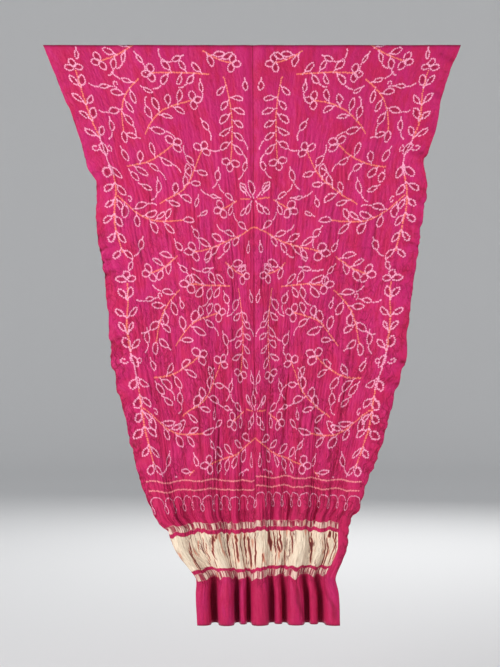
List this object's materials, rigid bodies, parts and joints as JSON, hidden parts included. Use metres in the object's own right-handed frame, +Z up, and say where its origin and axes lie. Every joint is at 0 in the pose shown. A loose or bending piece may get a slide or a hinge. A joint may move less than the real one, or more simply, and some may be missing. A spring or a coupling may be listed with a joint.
{
  "type": "tie-dyed bandhani cloth",
  "caption": "Crinkled silk cloth hung by its top edge, dotted leaf sprigs on magenta, drawn in at a pale woven band above a fluted plain end.",
  "frame": {"origin": "middle of the cloth's top edge, where it is held", "axes": "+Z up along the hanging length, +X along the top edge to the right as seen from the face, face towards -Y"},
  "size_m": [0.8361, 0.044, 1.1582],
  "materials": {
    "magenta_silk": "crinkled magenta silk satin, undyed pink-white and orange dots in leaf sprigs, a cream woven band near the lower end"
  },
  "bodies": {
    "root": {"bandhani_cloth": "magenta_silk"}
  },
  "joints": []
}
